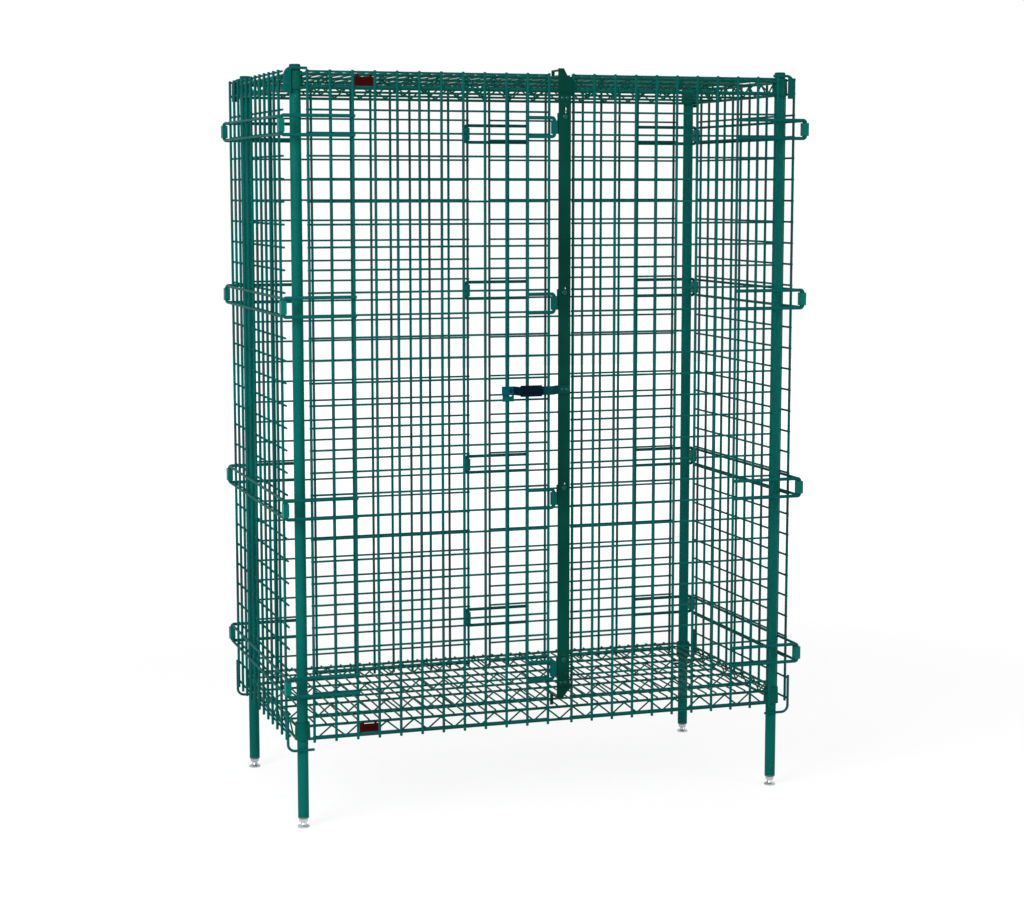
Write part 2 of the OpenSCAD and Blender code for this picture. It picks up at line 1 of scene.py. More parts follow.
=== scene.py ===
import math
import bmesh
import bpy
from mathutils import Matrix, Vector


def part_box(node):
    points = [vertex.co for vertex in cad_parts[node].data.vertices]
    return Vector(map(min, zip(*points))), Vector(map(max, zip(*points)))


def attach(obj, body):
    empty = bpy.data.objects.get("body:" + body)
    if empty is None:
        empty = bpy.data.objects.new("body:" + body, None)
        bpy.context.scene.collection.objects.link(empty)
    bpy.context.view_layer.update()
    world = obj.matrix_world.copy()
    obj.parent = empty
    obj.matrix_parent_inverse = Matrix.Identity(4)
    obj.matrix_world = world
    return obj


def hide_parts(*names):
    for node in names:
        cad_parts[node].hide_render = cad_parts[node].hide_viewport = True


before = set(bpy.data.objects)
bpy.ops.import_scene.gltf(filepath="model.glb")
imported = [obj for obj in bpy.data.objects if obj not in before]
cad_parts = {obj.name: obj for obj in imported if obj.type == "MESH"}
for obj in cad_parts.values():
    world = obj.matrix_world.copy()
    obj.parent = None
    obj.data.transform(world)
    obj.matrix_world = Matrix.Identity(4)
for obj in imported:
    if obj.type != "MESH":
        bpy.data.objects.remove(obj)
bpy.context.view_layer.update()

# Camera: it stands five metres in front of the cage and a little to its left, at eye height,
# with a short telephoto lens that is turned to the right and slightly down.
eye = Vector((-1.6522, -5.0848, 1.4552))
look_right = 0.3159
look_down = 0.1233
photo_width = 1024
focal_pixels = 2197.6
sensor_width = 36.0
furthest_seen = 60.0

camera_data = bpy.data.cameras.new("camera")
camera_data.sensor_width = sensor_width
camera_data.lens = focal_pixels * sensor_width / photo_width
camera_data.clip_end = furthest_seen
camera = bpy.data.objects.new("camera", camera_data)
camera.location = eye
camera.rotation_euler = (math.pi / 2 - look_down, 0.0, -look_right)
bpy.context.scene.collection.objects.link(camera)
bpy.context.scene.camera = camera
bpy.context.scene.view_settings.view_transform = "Standard"


# Floor and light: a white studio floor without a horizon, an even sky and two broad soft lamps, the
# stronger one on the left. The floor keeps a shadow near the cage and is plain white further off.
floor_half = 12.0
floor_grey = (0.86, 0.86, 0.86, 1.0)
floor_white_share = 0.7
floor_glow = 1.17
shadow_reach = (1.6, 4.2)
sky_strength = 0.62
sky_white = (1.0, 1.0, 1.0, 1.0)
lamp_width = 2.6
lamp_aim = Vector((0.0, 0.0, 0.9))
key_place = Vector((-4.2, -3.2, 3.0))
key_power = 190
fill_place = Vector((4.0, -4.4, 2.2))
fill_power = 60


def clean_nodes(owner):
    """Switches on the nodes of a material or a world, and empties them."""
    owner.use_nodes = True
    owner.node_tree.nodes.clear()
    return owner.node_tree.nodes, owner.node_tree.links


def reckoned(nodes, links, operation, first, second):
    """What a Math node makes of two sockets."""
    node = nodes.new("ShaderNodeMath")
    node.operation = operation
    links.new(first, node.inputs[0])
    links.new(second, node.inputs[1])
    return node.outputs[0]


def seen_directly(nodes, links):
    """1 where a camera, mirror or glass ray looks, 0 where light only bounces."""
    path = nodes.new("ShaderNodeLightPath")
    camera_or_mirror = reckoned(nodes, links, "MAXIMUM", path.outputs["Is Camera Ray"],
                                path.outputs["Is Glossy Ray"])
    return reckoned(nodes, links, "MAXIMUM", camera_or_mirror,
                    path.outputs["Is Transmission Ray"])


def mixed_surface(nodes, links, kind, share, first, second):
    """Sends a mix of two shaders to an output node of that kind."""
    mix = nodes.new("ShaderNodeMixShader")
    links.new(share, mix.inputs["Fac"])
    links.new(first.outputs[0], mix.inputs[1])
    links.new(second.outputs[0], mix.inputs[2])
    output = nodes.new(kind)
    links.new(mix.outputs[0], output.inputs["Surface"])


def floor_paint():
    """Matt pale paint that takes shadows, with a white glow that grows away from the cage."""
    paint = bpy.data.materials.new("studio_floor")
    nodes, links = clean_nodes(paint)
    matt = nodes.new("ShaderNodeBsdfDiffuse")
    matt.inputs["Color"].default_value = floor_grey
    glow = nodes.new("ShaderNodeEmission")
    glow.inputs["Strength"].default_value = floor_glow
    place = nodes.new("ShaderNodeTexCoord")
    distance = nodes.new("ShaderNodeVectorMath")
    distance.operation = "LENGTH"
    links.new(place.outputs["Object"], distance.inputs[0])
    whiter = nodes.new("ShaderNodeMapRange")
    whiter.interpolation_type = "SMOOTHSTEP"
    whiter.inputs["From Min"].default_value = shadow_reach[0]
    whiter.inputs["From Max"].default_value = shadow_reach[1]
    whiter.inputs["To Min"].default_value = floor_white_share
    links.new(distance.outputs["Value"], whiter.inputs["Value"])
    share = reckoned(nodes, links, "MULTIPLY", seen_directly(nodes, links),
                     whiter.outputs["Result"])
    mixed_surface(nodes, links, "ShaderNodeOutputMaterial", share, matt, glow)
    return paint


def studio_sky():
    """An even sky for light, which shows as plain white behind the cage."""
    sky = bpy.data.worlds.new("studio_sky")
    nodes, links = clean_nodes(sky)
    even = nodes.new("ShaderNodeBackground")
    even.inputs["Strength"].default_value = sky_strength
    white = nodes.new("ShaderNodeBackground")
    white.inputs["Color"].default_value = sky_white
    mixed_surface(nodes, links, "ShaderNodeOutputWorld", seen_directly(nodes, links), even, white)
    return sky


def soft_lamp(name, place, power):
    """A broad square lamp that is aimed at the middle of the cage."""
    data = bpy.data.lights.new(name, "AREA")
    data.shape = "SQUARE"
    data.size = lamp_width
    data.energy = power
    lamp = bpy.data.objects.new(name, data)
    lamp.location = place
    lamp.rotation_euler = (lamp_aim - place).to_track_quat("-Z", "Y").to_euler()
    bpy.context.scene.collection.objects.link(lamp)


floor_mesh = bpy.data.meshes.new("studio_floor")
floor_mesh.from_pydata(
    [(-floor_half, -floor_half, 0), (floor_half, -floor_half, 0),
     (floor_half, floor_half, 0), (-floor_half, floor_half, 0)], [], [(0, 1, 2, 3)])
floor_mesh.materials.append(floor_paint())
floor = bpy.data.objects.new("studio_floor", floor_mesh)
bpy.context.scene.collection.objects.link(floor)
bpy.context.scene.world = studio_sky()
soft_lamp("key_left", key_place, key_power)
soft_lamp("fill_right", fill_place, fill_power)


# Posts: four steel tubes an inch thick, with a shallow groove rolled round them at every inch.
# They are zinc plated and then coated with green epoxy powder, which is baked on.
MM = 0.001
post_wall = 1.6 * MM
post_end_inset = 0.3 * MM
post_end_rise = 0.4 * MM
groove_pitch = 25.4 * MM
groove_width = 1.8 * MM
groove_depth = 0.5 * MM
groove_fullness = 0.8
groove_shares = (-1.0, -0.62, -0.3, 0.0, 0.3, 0.62, 1.0)
crease_angle = math.radians(38)

# Each grain is a noise's waves per metre and its detail, and each band is the part of it used.
cloud_grain = (5.5, 3)
cloud_band = (0.35, 0.65)
speckle_grain = (420, 4)
speckle_band = (0.5, 0.75)
speckle_gain = 1.6
speckle_lift = 0.01
dust_grain = (38, 5)
dust_band = (0.4, 0.7)
dust_slope = (0.55, 1.0)
dust_least = 0.3
dust_grey = (0.30, 0.31, 0.30, 1.0)
chip_grain = (210, 3)
chip_band = (0.70, 0.73)
chipped_area_grain = (9, 2)
chipped_area_band = (0.56, 0.66)
chip_grey = (0.22, 0.24, 0.24, 1.0)
gloss_grain = (26, 4)
gloss_band = (0.3, 0.7)
peel_grain = (650, 2)
peel_depth = 0.3 * MM


def photo_tone(red, green, blue):
    """A colour read off the photograph on a 0 to 255 scale, as the linear colour of a shader."""
    def linear(value):
        share = value / 255
        return share / 12.92 if share <= 0.04045 else ((share + 0.055) / 1.055) ** 2.4
    return (linear(red), linear(green), linear(blue), 1.0)


def mixed_colour(nodes, links, factor, first, second):
    """Mixes two colours; the factor and the colours are sockets or fixed values."""
    node = nodes.new("ShaderNodeMix")
    node.data_type = "RGBA"
    ends = [socket for socket in node.inputs if socket.type == "RGBA"]
    for socket, value in ((node.inputs["Factor"], factor), (ends[0], first), (ends[1], second)):
        if isinstance(value, bpy.types.NodeSocket):
            links.new(value, socket)
        else:
            socket.default_value = value
    return [socket for socket in node.outputs if socket.type == "RGBA"][0]


def powder_coat(name, light, deep, smooth=0.26, rough=0.42, speckle=0.2, peel=0.1, dust=0.04,
                shine=0.03, chips=0.5):
    """Powder coating: cloudy tone, fine speckle, orange peel, rare chips and a breath of dust."""
    material = bpy.data.materials.new(name)
    material.use_nodes = True
    nodes, links = material.node_tree.nodes, material.node_tree.links
    shader = nodes["Principled BSDF"]
    shader.inputs["Specular IOR Level"].default_value = shine
    place = nodes.new("ShaderNodeTexCoord")

    def noise(grain):
        node = nodes.new("ShaderNodeTexNoise")
        node.inputs["Scale"].default_value = grain[0]
        node.inputs["Detail"].default_value = grain[1]
        links.new(place.outputs["Object"], node.inputs["Vector"])
        return node.outputs["Fac"]

    def spread(value, band, least, most):
        node = nodes.new("ShaderNodeMapRange")
        node.inputs["From Min"].default_value = band[0]
        node.inputs["From Max"].default_value = band[1]
        node.inputs["To Min"].default_value = least
        node.inputs["To Max"].default_value = most
        links.new(value, node.inputs["Value"])
        return node.outputs["Result"]

    cloudy = mixed_colour(nodes, links, spread(noise(cloud_grain), cloud_band, 0, 1), light, deep)
    brighter = [min(1.0, speckle_gain * part + speckle_lift) for part in light[:3]]
    speckled = mixed_colour(nodes, links, spread(noise(speckle_grain), speckle_band, 0, speckle),
                            cloudy, (*brighter, 1.0))
    facing = nodes.new("ShaderNodeNewGeometry")
    upward = nodes.new("ShaderNodeSeparateXYZ")
    links.new(facing.outputs["Normal"], upward.inputs[0])
    dusty = reckoned(nodes, links, "MULTIPLY", spread(upward.outputs["Z"], dust_slope, 0, dust),
                     spread(noise(dust_grain), dust_band, dust_least, 1))
    chipped = reckoned(nodes, links, "MULTIPLY", spread(noise(chip_grain), chip_band, 0, 1),
                       spread(noise(chipped_area_grain), chipped_area_band, 0, chips))
    dusted = mixed_colour(nodes, links, dusty, speckled, dust_grey)
    links.new(mixed_colour(nodes, links, chipped, dusted, chip_grey), shader.inputs["Base Color"])
    links.new(spread(noise(gloss_grain), gloss_band, smooth, rough), shader.inputs["Roughness"])
    bump = nodes.new("ShaderNodeBump")
    bump.inputs["Strength"].default_value = peel
    bump.inputs["Distance"].default_value = peel_depth
    links.new(noise(peel_grain), bump.inputs["Height"])
    links.new(bump.outputs[0], shader.inputs["Normal"])
    return material


post_green = powder_coat("green_epoxy_posts", photo_tone(3, 102, 94), photo_tone(2, 92, 84))


def full_turn(sides):
    """The angles of the corners of an even ring."""
    return [2 * math.pi * k / sides for k in range(sides)]


class Shape:
    """Corners and faces of one piece, gathered before its mesh is made."""

    def __init__(self):
        self.corners = []
        self.faces = []

    def skin(self, rings, loop=False):
        """Joins equal rings in a row, which runs round to its start or is closed at both ends."""
        start, count, sides = len(self.corners), len(rings), len(rings[0])
        for ring in rings:
            self.corners.extend(ring)
        for r in range(count if loop else count - 1):
            low, high = start + r * sides, start + (r + 1) % count * sides
            for k in range(sides):
                n = (k + 1) % sides
                self.faces.append((low + k, low + n, high + n, high + k))
        if not loop:
            last = start + (count - 1) * sides
            self.faces.append(tuple(start + k for k in reversed(range(sides))))
            self.faces.append(tuple(last + k for k in range(sides)))

    def lathe(self, centre, profile, sides=32, loop=False):
        """Turns (radius, height) points about the upright line through centre."""
        self.skin([[(centre[0] + radius * math.cos(turn), centre[1] + radius * math.sin(turn),
                     height) for turn in full_turn(sides)] for radius, height in profile], loop)


def make_piece(name, shape, material, body, node):
    """The mesh of a shape as a piece that rides on a body and stands for a CAD node."""
    mesh = bpy.data.meshes.new(name)
    mesh.from_pydata([tuple(corner) for corner in shape.corners], [], shape.faces)
    work = bmesh.new()
    work.from_mesh(mesh)
    bmesh.ops.recalc_face_normals(work, faces=work.faces)
    work.to_mesh(mesh)
    work.free()
    mesh.shade_smooth()
    mesh.set_sharp_from_angle(angle=crease_angle)
    mesh.materials.append(material)
    piece = bpy.data.objects.new(name, mesh)
    bpy.context.scene.collection.objects.link(piece)
    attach(piece, body)
    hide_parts(node)


def upright_round(node):
    """Foot, top, centre and radius of a round upright CAD node."""
    low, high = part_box(node)
    return low.z, high.z, (low + high) / 2, (high.x - low.x) / 2


def groove(radius, height):
    """The profile points of one groove, as shallow as the rolling wheel leaves it."""
    return [(radius - groove_depth * math.cos(share * math.pi / 2) ** groove_fullness,
             height + share * groove_width / 2) for share in groove_shares]


post_places = [("front", "left"), ("front", "right"), ("rear", "left"), ("rear", "right")]
post_centre, post_radius = upright_round("post_front_right")[2:]
post_x, post_y = post_centre.x, -post_centre.y
post_bore = post_radius - post_wall
post_end = post_radius - post_end_inset
for row, side in post_places:
    foot, top, centre, radius = upright_round(f"post_{row}_{side}")
    profile = [(post_bore, foot), (post_end, foot), (radius, foot + post_end_rise)]
    height = foot + groove_pitch / 2
    while height < top - groove_width:
        profile += groove(radius, height)
        height += groove_pitch
    profile += [(radius, top - post_end_rise), (post_end, top), (post_bore, top)]
    tube = Shape()
    tube.lathe(centre, profile, sides=40, loop=True)
    make_piece(f"grooved_tube_{row}_{side}", tube, post_green, "cage",
               f"post_{row}_{side}")


# Post caps: moulded in green plastic. A plug is pressed into the top of each tube, and a rounded
# rim sits on the tube's end.
cap_height = 5.0 * MM
cap_edge = 3.0 * MM
cap_edge_steps = 6
cap_lip_inset = 0.2 * MM
cap_lip_rise = 0.3 * MM
cap_centre = 0.5 * MM
plug_gap = 0.08 * MM
plug_lead = 1.0 * MM


def moulded(name, light, deep, smooth=0.42, rough=0.6, grain=0.12):
    """Moulded plastic: a coat without chips, with the fine grain of the mould."""
    return powder_coat(name, light, deep, smooth=smooth, rough=rough, speckle=0.1, peel=grain,
                       dust=0.08, chips=0)


cap_green = moulded("green_plastic_caps", photo_tone(3, 86, 78), photo_tone(2, 76, 68))
plug_radius = post_bore - plug_gap
for row, side in post_places:
    foot, top, centre, radius = upright_round(f"cap_{row}_{side}")
    rim_foot, edge_foot = top - cap_height, top - cap_edge
    profile = [(plug_radius - plug_lead, foot), (plug_radius, foot + 2 * plug_lead),
               (plug_radius, rim_foot), (radius - cap_lip_inset, rim_foot),
               (radius, rim_foot + cap_lip_rise), (radius, edge_foot)]
    for step in range(1, cap_edge_steps + 1):
        turn = math.pi / 2 * step / cap_edge_steps
        profile.append((radius - cap_edge + cap_edge * math.cos(turn),
                        edge_foot + cap_edge * math.sin(turn)))
    profile.append((cap_centre, top))
    cap = Shape()
    cap.lathe(centre, profile)
    make_piece(f"post_cap_{row}_{side}", cap, cap_green, "cage",
               f"cap_{row}_{side}")


# Foot inserts: moulded in grey plastic, and pressed into the lower end of each tube up to a
# flange. The hole takes the screw of the levelling foot.
insert_flange = 3.0 * MM
insert_low_edge = 0.5 * MM
insert_high_edge = 0.4 * MM
screw_radius = 5.0 * MM
screw_gap = 0.08 * MM

insert_grey = moulded("grey_plastic_inserts", photo_tone(120, 128, 128), photo_tone(96, 104, 106))
insert_hole = screw_radius + screw_gap
for row, side in post_places:
    foot, top, centre, radius = upright_round(f"insert_{row}_{side}")
    flange_top = foot + insert_flange
    insert = Shape()
    insert.lathe(centre, [
        (insert_hole, foot), (radius - insert_low_edge, foot), (radius, foot + insert_low_edge),
        (radius, flange_top - insert_high_edge), (radius - insert_high_edge, flange_top),
        (plug_radius, flange_top), (plug_radius, top), (insert_hole, top)], loop=True)
    make_piece(f"foot_insert_{row}_{side}", insert, insert_grey, "cage",
               f"insert_{row}_{side}")


# Levelling feet: a steel screw with a fixed hexagon nut and a round pressed pad, all zinc plated.
# Each screws into its insert, and is turned at the nut to level the cage.
nut_height = 8.0 * MM
nut_across_flats = 19.0 * MM
nut_bevel = 1.0 * MM
nut_end_share = 0.9
nut_gap = 0.3 * MM
thread_turns = 9
thread_pitch = 1.5 * MM
thread_depth = 0.7 * MM
thread_start = 0.4 * MM
screw_tip = 1.0 * MM
metal_share = 0.85

# Outlines in millimetres: out from the pad's edge or the screw's side, and up from the floor.
pad_outline = [(-1.2, 0.0), (-0.3, 0.3), (0.0, 1.0), (0.0, 3.0), (-1.0, 4.1), (-3.0, 5.0)]
neck_outline = [(2.6, 5.9), (2.0, 6.5)]
neck_margin = 1.0 * MM


def plated(name, light, deep):
    """Bright plated steel, with a little dust in its speckle."""
    material = powder_coat(name, light, deep, smooth=0.22, rough=0.44, speckle=0.3, peel=0.05,
                           dust=0.03, shine=0.4, chips=0)
    material.node_tree.nodes["Principled BSDF"].inputs["Metallic"].default_value = metal_share
    return material


def hexagon_nut(shape, centre, foot, top):
    """A bevelled six-sided nut round the screw."""
    across_corners = nut_across_flats / 2 / math.cos(math.pi / 6)
    shape.skin([[(centre.x + share * across_corners * math.cos(turn),
                  centre.y + share * across_corners * math.sin(turn), height)
                 for turn in full_turn(6)]
                for share, height in ((nut_end_share, foot), (1.0, foot + nut_bevel),
                                      (1.0, top - nut_bevel), (nut_end_share, top))])


foot_zinc = plated("zinc_plated_feet", photo_tone(196, 202, 206), photo_tone(160, 168, 174))
for row, side in post_places:
    centre = upright_round(f"post_{row}_{side}")[2]
    low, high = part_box(f"foot_{row}_{side}")
    pad = (high.x - low.x) / 2
    nut_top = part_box(f"insert_{row}_{side}")[0].z - nut_gap
    nut_foot = nut_top - nut_height
    profile = [(pad + out * MM, low.z + up * MM) for out, up in pad_outline]
    profile += [(screw_radius + out * MM, low.z + up * MM) for out, up in neck_outline]
    profile.append((screw_radius + neck_margin, nut_foot))
    for half in range(2 * thread_turns):
        depth = 0.0 if half % 2 else thread_depth
        profile.append((screw_radius - depth, nut_foot + thread_start + half * thread_pitch / 2))
    profile += [(screw_radius, high.z - screw_tip), (screw_radius - screw_tip, high.z)]
    levelling_foot = Shape()
    levelling_foot.lathe(centre, profile)
    hexagon_nut(levelling_foot, centre, nut_foot, nut_top)
    make_piece(f"levelling_foot_{row}_{side}", levelling_foot, foot_zinc,
               f"foot_{row}_{side}_screw", f"foot_{row}_{side}")


# Wire shelves: each is one weldment of steel rod, with deck wires from front to back on a rim of
# two rods and a snaking wire, two trusses like it under the deck, and a tapered collar at each
# corner that slides down a post onto its split sleeve.
shelf_height = 40.0 * MM
rim_radius = 3.25 * MM
rim_stop = 7.0 * MM
rib_radius = 2.8 * MM
snake_radius = 2.0 * MM
snake_pitch = 66.0 * MM
snake_margin = 25.4 * MM
snake_bend = 5.0 * MM
snake_inset_share = 0.55
snake_weld = (3.4 * MM, 3.4 * MM, 2.6 * MM)
deck_radius = 2.0 * MM
deck_pitch = 25.4 * MM
deck_margin = 8.5 * MM
deck_overhang = 1.0 * MM
deck_weld = (2.8 * MM, 2.8 * MM, 1.6 * MM)
deck_weld_lift = 0.2 * MM
weld_bite = 0.4 * MM
weld_levels = (-0.92, -0.5, 0.0, 0.5, 0.92)
weld_sides = 8
sleeve_wall = 1.5 * MM
sleeve_gap = 0.15 * MM
collar_wall = 2.4 * MM
collar_taper = 1.2 * MM
collar_outer_edge = 0.5 * MM
collar_inner_edge = 0.3 * MM
rod_end_share = 0.72
rod_end_length = 0.3

rim_green = powder_coat("green_epoxy_shelves", photo_tone(3, 92, 82), photo_tone(2, 80, 70),
                        smooth=0.24, rough=0.4)


def rod(shape, path, radius, sides=12):
    """A round rod along the path, with sheared ends softened by the coating."""
    path = [Vector(point) for point in path]
    ways = [(path[min(k + 1, len(path) - 1)] - path[max(k - 1, 0)]).normalized()
            for k in range(len(path))]
    first_full = path[0] + ways[0] * rod_end_length * radius
    last_full = path[-1] - ways[-1] * rod_end_length * radius
    stations = [(path[0], ways[0], rod_end_share * radius), (first_full, ways[0], radius)]
    stations += [(point, way, radius) for point, way in zip(path[1:-1], ways[1:-1])]
    stations += [(last_full, ways[-1], radius), (path[-1], ways[-1], rod_end_share * radius)]
    across = ways[0].orthogonal().normalized()
    rings = []
    for centre, way, size in stations:
        across = (across - way * across.dot(way)).normalized()
        other = way.cross(across)
        rings.append([centre + size * (math.cos(turn) * across + math.sin(turn) * other)
                      for turn in full_turn(sides)])
    shape.skin(rings)


def rounded(points, bend, steps=5):
    """A path through the points, with an arc of the bend radius at each inner one."""
    points = [Vector(point) for point in points]
    path = [points[0]]
    for before, corner, after in zip(points, points[1:], points[2:]):
        back, on = (before - corner).normalized(), (after - corner).normalized()
        half = back.angle(on) / 2
        reach = bend / math.tan(half)
        middle = corner + (back + on).normalized() * bend / math.sin(half)
        start, end = corner + back * reach, corner + on * reach
        for step in range(steps + 1):
            share = step / steps
            spoke = ((start - middle) * (1 - share) + (end - middle) * share).normalized()
            path.append(middle + spoke * bend)
    path.append(points[-1])
    return path


def weld(shape, centre, size):
    """A squeezed nugget where two wires are welded across each other."""
    rings = []
    for level in weld_levels:
        girth = math.sqrt(1 - level * level)
        rings.append([(centre[0] + size[0] * girth * math.cos(turn),
                       centre[1] + size[1] * girth * math.sin(turn),
                       centre[2] + size[2] * level) for turn in full_turn(weld_sides)])
    shape.skin(rings)


def truss(shelf, start, end, radius, top, bottom):
    """Two rods one above the other, and a wire that snakes between them."""
    start, end = Vector(start), Vector(end)
    way = (end - start).normalized()
    for height in (top, bottom):
        lift = Vector((0, 0, height))
        rod(shelf, [start + lift, end + lift], radius)
    length = (end - start).length - 2 * snake_margin
    halves = 2 * round(length / snake_pitch)
    inset = radius * snake_inset_share
    points = []
    for k in range(halves + 1):
        height = top - inset if k % 2 else bottom + inset
        points.append(start + way * (snake_margin + k * length / halves) + Vector((0, 0, height)))
    rod(shelf, rounded(points, snake_bend, steps=4), snake_radius, sides=8)
    for point in points[1:-1]:
        weld(shelf, point, snake_weld)


def tapered_collar(shelf, x, y, deck):
    """The collar round a post, wider at its foot, with room inside for the split sleeve."""
    foot = deck - shelf_height
    inner_top = post_radius + sleeve_wall + 2 * sleeve_gap
    inner_foot = inner_top + collar_taper
    outer_top, outer_foot = inner_top + collar_wall, inner_foot + collar_wall
    shelf.lathe((x, y), [
        (inner_foot + collar_inner_edge, foot), (outer_foot - collar_outer_edge, foot),
        (outer_foot, foot + collar_outer_edge), (outer_top, deck - collar_outer_edge),
        (outer_top - collar_outer_edge, deck), (inner_top + collar_inner_edge, deck),
        (inner_top, deck - collar_inner_edge), (inner_foot, foot + collar_inner_edge)],
        sides=36, loop=True)


def wire_shelf(level):
    """One shelf at the place of its CAD node: rim, trusses, deck wires and collars."""
    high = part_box(f"shelf_{level}")[1]
    deck = high.z
    rim_x, rim_y = high.x - rim_radius, high.y - rim_radius
    rim_top = deck - 2 * deck_radius + weld_bite - rim_radius
    rim_bottom = deck - shelf_height + rim_radius
    stop_x, stop_y = post_x - rim_stop, post_y - rim_stop
    rib_places = (-post_y / 3, post_y / 3)
    shelf = Shape()
    for sign in (-1, 1):
        truss(shelf, (-stop_x, sign * rim_y, 0), (stop_x, sign * rim_y, 0), rim_radius, rim_top,
              rim_bottom)
        truss(shelf, (sign * rim_x, -stop_y, 0), (sign * rim_x, stop_y, 0), rim_radius, rim_top,
              rim_bottom)
    for y in rib_places:
        truss(shelf, (-rim_x, y, 0), (rim_x, y, 0), rib_radius, rim_top, rim_bottom)
    last_wire = int((post_x - post_radius - collar_wall - deck_margin) / deck_pitch)
    for k in range(-last_wire, last_wire + 1):
        x = k * deck_pitch
        rod(shelf, [(x, -rim_y - deck_overhang, deck - deck_radius),
                    (x, rim_y + deck_overhang, deck - deck_radius)], deck_radius, sides=10)
        for y in (-rim_y, *rib_places, rim_y):
            weld(shelf, (x, y, deck - 2 * deck_radius + deck_weld_lift), deck_weld)
    for x in (-post_x, post_x):
        for y in (-post_y, post_y):
            tapered_collar(shelf, x, y, deck)
    make_piece(f"wire_shelf_{level}", shelf, rim_green, "cage", f"shelf_{level}")


wire_shelf("top")
wire_shelf("bottom")


# Split sleeves: two halves moulded in black plastic in each collar. They snap into a groove of the
# post, and the collar's taper wedges them tight.
same_point = 0.002 * MM
flat_angle = math.radians(0.6)
rounded_from_angle = math.radians(30)
solid_crease_angle = math.radians(42)


def softened(name, node, material, body, edge):
    """The CAD solid's own form, with its edges rounded as the coat or the mould leaves them."""
    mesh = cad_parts[node].data.copy()
    mesh.materials.clear()
    mesh.materials.append(material)
    work = bmesh.new()
    work.from_mesh(mesh)
    bmesh.ops.remove_doubles(work, verts=work.verts, dist=same_point)
    bmesh.ops.dissolve_limit(work, angle_limit=flat_angle, verts=work.verts, edges=work.edges)
    work.to_mesh(mesh)
    work.free()
    piece = bpy.data.objects.new(name, mesh)
    bpy.context.scene.collection.objects.link(piece)
    if edge:
        rounding = piece.modifiers.new("edges", "BEVEL")
        rounding.width = edge
        rounding.segments = 2
        rounding.limit_method = "ANGLE"
        rounding.angle_limit = rounded_from_angle
        rounding.harden_normals = False
    mesh.shade_smooth()
    mesh.set_sharp_from_angle(angle=solid_crease_angle)
    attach(piece, body)
    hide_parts(node)


sleeve_black = moulded("black_plastic_sleeves", photo_tone(30, 40, 40), photo_tone(20, 28, 28))
for level in ("top", "bottom"):
    softened(f"split_sleeves_{level}", f"sleeves_{level}", sleeve_black, "cage",
             edge=0)


# Plain plates: one of thin red plastic on the front of each shelf, hung by two ears on the upper
# rim rod.
plate_edge = 0.2 * MM
plate_red = powder_coat("red_plate", photo_tone(66, 9, 10), photo_tone(56, 6, 7), smooth=0.3,
                        speckle=0.08, peel=0.02, chips=0)
for level in ("top", "bottom"):
    softened(f"plain_plate_{level}", f"shelf_plate_{level}", plate_red, "cage",
             edge=plate_edge)


# Mesh panels and doors: upright wires on the outer face and thinner cross wires on the inner
# face, spot welded at each crossing, then zinc plated and coated with green epoxy powder.
upright_radius = 3.15 * MM
row_radius = 2.4 * MM
mesh_pitch = 50.8 * MM
row_pitch = 50.2 * MM
row_end_inset = 0.6 * MM
last_row_gap = 20.0 * MM
tail_low = 12.0 * MM
tail_high = 4.0 * MM
spot_weld_width = 3.2 * MM
spot_weld_height = 3.0 * MM
spot_weld_depth = 1.9 * MM
spot_weld_sink = 0.2 * MM
rounding_slack = 0.01 * MM

wire_green = powder_coat("green_epoxy_wire", photo_tone(6, 94, 90), photo_tone(4, 82, 78),
                         smooth=0.34, rough=0.5, speckle=0.25, shine=0.01)


def on_panel(across, along, through, height):
    """A point at a place along a panel, at a depth through it and at a height."""
    return (along, through, height) if across == 0 else (through, along, height)


def row_heights(foot, top):
    """The heights of the cross wires of a panel, evenly spaced up to the last one."""
    heights = []
    height = foot + tail_low
    while height < top - tail_high - last_row_gap + rounding_slack:
        heights.append(height)
        height += row_pitch
    return heights + [top - tail_high]


def welded_mesh(name, node, body, across):
    """Makes a panel to fit its CAD box; across is the axis along which the cross wires run."""
    low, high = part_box(node)
    through = 1 - across
    outward = 1 if low[through] > 0 else -1
    outer = high[through] if outward > 0 else low[through]
    upright_at = outer - outward * upright_radius
    row_at = upright_at - outward * (upright_radius + row_radius - weld_bite)
    seat = upright_at - outward * (upright_radius - spot_weld_sink)
    if across == 0:
        count = round((high.x - low.x - 2 * upright_radius) / mesh_pitch)
        first = low.x + upright_radius
        ends = (low.x + row_end_inset, high.x - row_end_inset)
    else:
        count = int((2 * post_y + rounding_slack) / mesh_pitch)
        first = -count * mesh_pitch / 2
        ends = (low.y, high.y)
    uprights = [first + k * mesh_pitch for k in range(count + 1)]
    nugget = on_panel(across, spot_weld_width, spot_weld_depth, spot_weld_height)
    panel = Shape()
    for along in uprights:
        rod(panel, [on_panel(across, along, upright_at, height) for height in (low.z, high.z)],
            upright_radius)
    for height in row_heights(low.z, high.z):
        rod(panel, [on_panel(across, end, row_at, height) for end in ends], row_radius)
        for along in uprights:
            weld(panel, on_panel(across, along, seat, height), nugget)
    make_piece(name, panel, wire_green, body, node)


for side in ("left", "right"):
    welded_mesh(f"side_mesh_{side}", f"side_panel_{side}", "cage", 1)
    welded_mesh(f"back_mesh_{side}", f"back_panel_{side}", "cage", 0)
    welded_mesh(f"door_mesh_{side}", f"door_{side}", f"{side}_door", 0)


# Rod loops: bent from round steel and welded to the outer faces of the panels. Side loops stick
# out past the corners, and door and back loops straddle them, so that one clip holds the two
# upright stretches.
loop_heights = (338.0 * MM, 742.0 * MM, 1193.0 * MM, 1591.0 * MM)
door_loop_radius = 4.0 * MM
door_bend = 6.0 * MM
side_loop_radius = 3.15 * MM
side_bend = 4.5 * MM
loop_bend_steps = 6
loop_sides = 14


